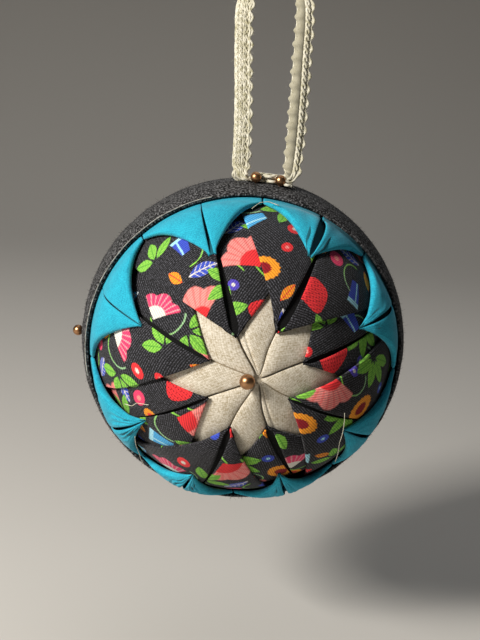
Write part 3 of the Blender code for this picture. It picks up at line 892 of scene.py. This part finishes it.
# Print points: name, turn, lean of the tip, slit width, anticlockwise and clockwise side over (1)
# or under (0) the neighbour, headings of both folded edges from the tip, and where each flap is
# cut from the print: x, y, heading
printFront = [
    ("print_point_1", -18, 16.4, 2.3, 1, 0, 45, 50, (34, 17, 25), (12, 3, -10)),
    ("print_point_2", 28, 20.6, 2.3, 1, 1, 43, 47, (25, 30, 75), (20, 20, 200)),
    ("print_point_3", 72, 22, 1.3, 0, 0, 58, 36, (3, 25, 300), (28, 2, 60)),
    ("print_point_4", 113, 17.8, 0.9, 1, 1, 45, 45, (30, 30, 100), (16, 26, 150)),
    ("print_point_5", 154, 21, 1.8, 0, 0, 40, 48, (10, 36, 80), (36, 12, 310)),
    ("print_point_6", 193, 20.8, 1.6, 1, 1, 36, 43, (22, 8, 340), (2, 12, 40)),
    ("print_point_7", 238, 16.4, 0.9, 0, 0, 43, 43, (14, 20, 250), (26, 14, 190)),
    ("print_point_8", 292.6, 15.6, 0.9, 1, 0, 51, 43, (18, 32, 60), (24, 24, 330)),
]
printPointLook = {"widest": 43.0, "riseEnd": 31.0, "base": 80.0, "rows": 44, "arch": 0.5,
                  "lift": 0.35, "uneven": 0.16, "tipHalfWidth": 0.35,
                  "flat": (0.076, 0.038)}


def straightEdge(lean, tip, heading):
    # Turn, in degrees, of a straight fold on the ball that leaves the tip at this heading
    lean, tip, heading = np.radians(lean), np.radians(tip), np.radians(heading)
    nearest = np.tan(np.arcsin(np.sin(tip) * np.sin(heading)))
    return np.degrees(np.arccos(nearest / np.tan(lean)) - np.arccos(nearest / np.tan(tip)))


def makePrint(row, side, look, strip, seed):
    node, turn, tip, slit, overLeft, overRight, headLeft, headRight, uvLeft, uvRight = row
    lean = rowLeans(tip, look, strip)
    distance = layers["print"] * np.radians(lean - tip)
    rise = layers["printStep"] * np.minimum(1, (lean - tip) / (look["riseEnd"] - tip))
    low = [layers["print"] + layers["clear"] + rise * over for over in (overLeft, overRight)]
    high = [foldTop(level, distance + 0.12, 0.8) for level in low]
    perDegree = degreeWidth(layers["print"], lean)
    widths = []
    for heading in (headLeft, headRight):
        # Held under the widest turn by a soft minimum
        turned = -np.logaddexp(-straightEdge(lean, tip, heading) / 2, -look["widest"] / 2) * 2
        widths.append(np.hypot(np.maximum(turned, 0) * perDegree, look["tipHalfWidth"]))
    # The slit gapes most near the tip and closes towards the band
    gape = smoothStep((distance + 0.6) / 3.2) * (1 - 0.8 * smoothStep((lean - tip) / 44))
    rows = {"lean": lean, "distance": distance, "low": low, "high": high, "width": widths,
            "slit": np.minimum(slit / 2 * gape, 0.5 * np.minimum(*widths))}

    def shape(hand, share, onTop, across, rows):
        # Puffed flap, lifted a little along the slit, with soft dents
        grown = smoothStep(rows["distance"] / 10)
        fade = 1 - smoothStep((rows["lean"] - 58) / 12)
        height = look["arch"] * grown * fade * np.sin(np.pi * share ** 0.8) * onTop
        lift = look["lift"] * grown * fade * np.exp(-(share / 0.16) ** 2) * onTop
        uneven = softNoise(across, rows["distance"], seed + hand, 9.0) * grown * fade
        return height + lift + look["uneven"] * uneven * np.sin(np.pi * share) ** 0.5 * onTop

    piece = foldedCloth("fold_" + node, node, turn, rows, shape, (uvLeft, uvRight),
                        printCotton, side, strip)


# Blue points: name, turn, lean of the tip, half width of the tip, slit width at the tip and in
# the middle, drop of the tip, lift of the cloth along the slit, and wrinkle strength
blueFront = [
    ("blue_point_1", -20.5, 47.7, 1.0, 0.9, 0.3, 0, 0.30, 0.06),
    ("blue_point_2", 25, 51.8, 0.6, 0.4, 2.0, 0, 0.70, 0.04),
    ("blue_point_3", 67, 49.8, 0.3, 0.0, 1.2, 1, 0.60, 0.40),
    ("blue_point_4", 119, 46, 0.3, 0.0, 0.9, 0, 0.40, 0.35),
    ("blue_point_5", 159, 51, 0.3, 0.0, 1.0, 1, 0.50, 0.8),
    ("blue_point_6", 200, 53, 0.3, 0.0, 0.9, 0, 0.60, 1.1),
    ("blue_point_7", 236.5, 47.6, 0.3, 0.0, 0.9, 1, 0.60, 1.2),
    ("blue_point_8", 289.6, 43.9, 0.4, 0.2, 0.3, 0, 0.20, 0.06),
]
bluePointLook = {"meet": 72.5, "base": 84.0, "rows": 44, "gap": 0.12, "puff": 1.25,
                 "arch": 0.35, "pleat": 0.20, "uneven": 0.12, "flat": (0.060, 0.030),
                 "area": 0.00125}


def makeBlue(row, reachLeft, reachRight, side, look, strip, seed):
    node, turn, tip, blunt, tipSlit, slit, drop, lip, wrinkle = row
    lean = rowLeans(tip, look, strip)
    distance = layers["blue"] * np.radians(lean - tip)
    share = np.clip((lean - tip) / (look["meet"] - tip), 0, 1)
    fall = layers["printStep"] * drop * np.interp(share, [0, 0.2, 0.5], [1.0, 0.10, 0.0])
    low = layers["blue"] + layers["clear"] - fall
    puff = look["puff"] * np.sin(np.pi * share ** 1.5) ** 1.2
    high = foldTop(low, distance + 0.12, 0.7) + puff
    perDegree = degreeWidth(layers["blue"], lean)
    reach = 0.88 * share ** 0.92 + 0.12 * share ** 7
    full = [reachLeft * perDegree - look["gap"], reachRight * perDegree - look["gap"]]
    widths = [np.minimum(np.hypot(np.maximum(room, 0) * reach, blunt), room) for room in full]
    opening = (slit * (0.12 + 0.88 * np.sin(np.pi * np.minimum(share * 0.9, 1)))
               + tipSlit * (1 - share) ** 2) / 2
    rows = {"lean": lean, "distance": distance, "low": (low, low), "high": (high, high),
            "width": widths, "slit": np.minimum(opening, 0.4 * np.minimum(*widths))}

    def shape(hand, flapShare, onTop, across, rows):
        # Flap arched between slit and fold, with pleats that fan out from the tip
        grown = smoothStep(rows["distance"] / 7)
        fade = 1 - smoothStep((rows["lean"] - 70) / 5)
        height = look["arch"] * grown * fade * np.sin(np.pi * flapShare) * onTop
        lift = lip * grown * fade * np.exp(-(flapShare / 0.3) ** 2) * onTop
        drift = softNoise(across, rows["distance"], seed, 7.0)
        fan = np.sin(5 * flapShare ** 0.7 * np.pi + 7 * drift + hand)
        near = 1 - 0.6 * smoothStep(rows["distance"] / 14)
        pleats = look["pleat"] * wrinkle * fan * near
        uneven = look["uneven"] * softNoise(across, rows["distance"], seed + hand, 6.0)
        middle = np.sin(np.pi * flapShare) ** 0.5 * grown * fade * onTop
        return height + lift + (pleats + uneven) * middle

    piece = foldedCloth("fold_" + node, node, turn, rows, shape,
                        ((seed * 2.3, 3, 40), (seed * 4.7, 9, -50)), blueCotton, side, strip)


def makeStars():
    for index, row in enumerate(creamFront):
        makeCream(row, 1, creamLook, stripLook, 20 + index)
    for index, row in enumerate(printFront):
        makePrint(row, 1, printPointLook, stripLook, 40 + 2 * index)
    turns = [row[1] for row in blueFront]
    for index, row in enumerate(blueFront):
        before = (row[1] - turns[index - 1]) % 360 / 2
        after = (turns[(index + 1) % 8] - row[1]) % 360 / 2
        makeBlue(row, before, after, 1, bluePointLook, stripLook, 70 + 3 * index)
    print("front star is folded")
    for index in range(4):
        turn = 90 * index
        makeCream(("back_cream_point_%d" % (index + 1), turn, turn - 45, turn + 45, 0.0, 0.0),
                  -1, creamLook, backStripLook, 120 + index)
    for index in range(8):
        turn, over = 45 * index, index % 2
        uvPlaces = ((index * 7.0, index * 5.0, 30 * index), (index * 11.0, 6.0, 200 - 25 * index))
        makePrint(("back_print_point_%d" % (index + 1), turn, 18, 1.0, over, over, 48, 48,
                   *uvPlaces), -1, printPointLook, backStripLook, 140 + 2 * index)
        makeBlue(("back_blue_point_%d" % (index + 1), turn, 47, 0.3, 0.0, 0.9, 1 - over, 0.4, 0.5),
                 22.5, 22.5, -1, bluePointLook, backStripLook, 170 + 3 * index)
    print("back star is folded")


makeStars()

# Ball under the points, band, and pins
ballLook = {"segments": 72, "rings": 48}
bandLook = {"halfLean": 15.5, "thickness": 0.8, "around": 360, "across": 30, "nap": 4200,
            "lint": 500, "napLength": (0.2, 0.7), "napThick": 0.04, "dents": 0.14,
            "edgeWave": 0.22, "mapRadius": 42, "threadTurns": (256, 344),
            "threadThick": 0.15, "looseThick": 0.09}
lintLook = {"colour": "#7e7d7a", "shade": "#4a4948", "stripShade": "#7e7d7a"}
# Loose thread ends on the stars: lean, turn and radius at each end and between
looseThreads = [
    ((64.8, -2.0, 42.9), (68.3, 0.9, 43.1), (69.3, 4.2, 43.2), (68.2, 7.9, 43.1)),
    ((39.8, 108.8, 41.9), (42.5, 116.4, 42.4), (46.2, 125.2, 42.7), (54.1, 133.9, 43.1)),
    ((51.8, 232.3, 42.8), (54.9, 228.3, 43.0), (58.1, 223.4, 43.2), (66.0, 217.3, 43.2)),
    ((48.4, 248.8, 42.6), (45.6, 247.4, 42.1), (43.1, 248.9, 41.8), (38.5, 247.0, 41.2)),
]
threadLook = {"colour": "#a8a49c", "shade": "#3a3936", "stripShade": "#a8a49c"}


def makeBall(look):
    # Sphere grid of lean and turn, closed at both poles by small caps
    lean = np.linspace(0.5, 179.5, look["rings"])[:, None]
    turn = np.linspace(0, 360, look["segments"], endpoint=False)[None, :]
    points = placeOnBall(lean, turn, ballRadius + 0 * lean * turn, 1)
    faces = gridFaces(look["rings"], look["segments"], closeColumns=True)
    faces += [face[::-1] for face in endCaps(look["rings"], look["segments"])]
    uv = np.stack(np.broadcast_arrays(turn * 0.6 + 0 * lean, lean * 0.6 + 0 * turn), axis=-1)
    ball = makePiece("coveredBall", points, faces, creamCotton, uv)
    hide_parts("ball")


def makeBand(look):
    # Closed section of lean and radius turned round the star's axis; soft dents and rolled edges
    half = look["halfLean"]
    t = np.linspace(-1, 1, look["across"])
    outer = 90 + half * t
    crown = layers["band"] + look["thickness"] - 0.3 * np.abs(t) ** 10
    section = np.concatenate([np.stack([outer, crown], axis=1),
                              np.stack([outer[::-1], 0 * t + layers["band"]], axis=1)])
    turn = np.linspace(0, 360, look["around"], endpoint=False)[:, None]
    lean, radius = section[:, 0][None, :], section[:, 1][None, :]
    top = radius > layers["band"] + 0.1
    arc = np.radians(turn) * look["mapRadius"]
    east, north = (look["mapRadius"] * way(np.radians(turn)) for way in (np.cos, np.sin))
    drawn = look["dents"] * softNoise(east, north + lean, 301, 9.0)
    edgeWave = (look["edgeWave"] * softNoise(east, north, 302, 14.0)
                * np.abs((lean - 90) / half) ** 3)
    points = placeOnBall(lean + edgeWave, turn, radius + top * drawn, 1)
    uv = np.stack(np.broadcast_arrays(arc, np.radians(lean) * look["mapRadius"]), axis=-1)
    band = makePiece("bandRound", points,
                     gridFaces(*points.shape[:2], closeRows=True, closeColumns=True),
                     bandFelt, uv)
    # Nap: short loose fibres of the cloth, with a few pale ones of lint among them
    draw = np.random.default_rng(41)
    lint = cottonYarn("greyLint", lintLook, laceFinish)
    for name, count, material in (("bandNap", look["nap"], bandFelt),
                                  ("bandLint", look["lint"], lint)):
        turns = draw.uniform(0, 360, count)
        leans = 90 + half * draw.uniform(-1, 1, count)
        roots = placeOnBall(leans, turns, layers["band"] + look["thickness"] - 0.08, 1)
        headings = draw.normal(size=roots.shape) + 0.8 * (roots - ballCentre) / layers["band"]
        addFibres(name, roots, headings, look["napLength"], look["napThick"], 43,
                               material)
    # Sewing thread lying along the front edge at the upper left
    turns = np.linspace(*look["threadTurns"], 240)
    wander = 0.35 * softNoise(turns, 0 * turns, 47, 11.0)
    line = placeOnBall(90 - half - 0.1 + wander, turns, layers["band"] + look["thickness"] + 0.02, 1)
    points, faces, uv = yarnTube(line, look["threadThick"], line - ballCentre, 6)
    thread = makePiece("edgeThread", points, faces, cottonYarn("sewingThread", threadLook,
                                                               laceFinish), uv)
    parts = []
    for ends in looseThreads:
        t = np.linspace(0, len(ends) - 1, 24)
        lean, turn, radius = (np.interp(t, range(len(ends)), column) for column in zip(*ends))
        line = placeOnBall(lean, turn, radius, 1)
        parts.append(yarnTube(line, look["looseThick"], line - ballCentre, 5))
    points, faces, uv = joinParts(parts)
    makePiece("looseThreads", points, faces, laceMaterial, uv)
    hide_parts("band")


def copperHead(name):
    # Copper-coated steel pin head, polished: warm, bright, with faint handling marks
    material, tree = newMaterial(name)
    marks = noiseAt(tree, addNode(tree, "ShaderNodeTexCoord", output=3), 700.0, 3.0)
    rough = fadeBetween(tree, marks, 0.2, 0.9)
    gloss = addNode(tree, "ShaderNodeMapRange", {3: 0.28, 4: 0.46}, {0: rough})
    tone = mixColours(tree, rough, "#c4986e", "#8f6244")
    finishMaterial(tree, {"Metallic": 1.0}, {"Base Color": tone, "Roughness": gloss})
    return material


# Pin: the head is drawn down to its steel, which goes on into the cloth
pinLook = {"across": 36, "headRings": 22, "neckAngle": 171.0, "steel": 1.0, "steelRings": 4}


def makePins(look):
    material = copperHead("copperPinHead")
    for node in ("pin_centre", "pin_back", "pin_side", "pin_loop_1", "pin_loop_2"):
        low, high = (np.array(corner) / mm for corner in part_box(node))
        centre, radius = (low + high) / 2, (high - low).max() / 2
        lean = np.radians(np.linspace(1, look["neckAngle"], look["headRings"]))
        turn = np.radians(np.linspace(0, 360, look["across"], endpoint=False))[None, :]
        # Round head, a little drawn in towards its neck
        out = unit(centre - ballCentre)
        side = unit(np.cross(out, [0.3, 0.2, 0.9]))
        other = np.cross(out, side)
        reach = radius * (1 - 0.06 * smoothStep((-np.cos(lean) - 0.3) / 0.7))
        ring, height = reach * np.sin(lean), reach * np.cos(lean)
        down = np.linspace(0, look["steel"], look["steelRings"] + 1)[1:]
        ring = np.concatenate([ring, ring[-1] + 0 * down])[:, None]
        height = np.concatenate([height, height[-1] - down])[:, None]
        points = (centre + (ring * np.cos(turn))[..., None] * side
                  + (ring * np.sin(turn))[..., None] * other
                  + (height + 0 * turn)[..., None] * out)
        faces = gridFaces(*points.shape[:2], closeColumns=True)
        faces += [face[::-1] for face in endCaps(len(points), look["across"])]
        head = makePiece("head_" + node, points, faces, material)
        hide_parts(node)


makeBall(ballLook)
makeBand(bandLook)
makePins(pinLook)
print("ball, band and pins are made")
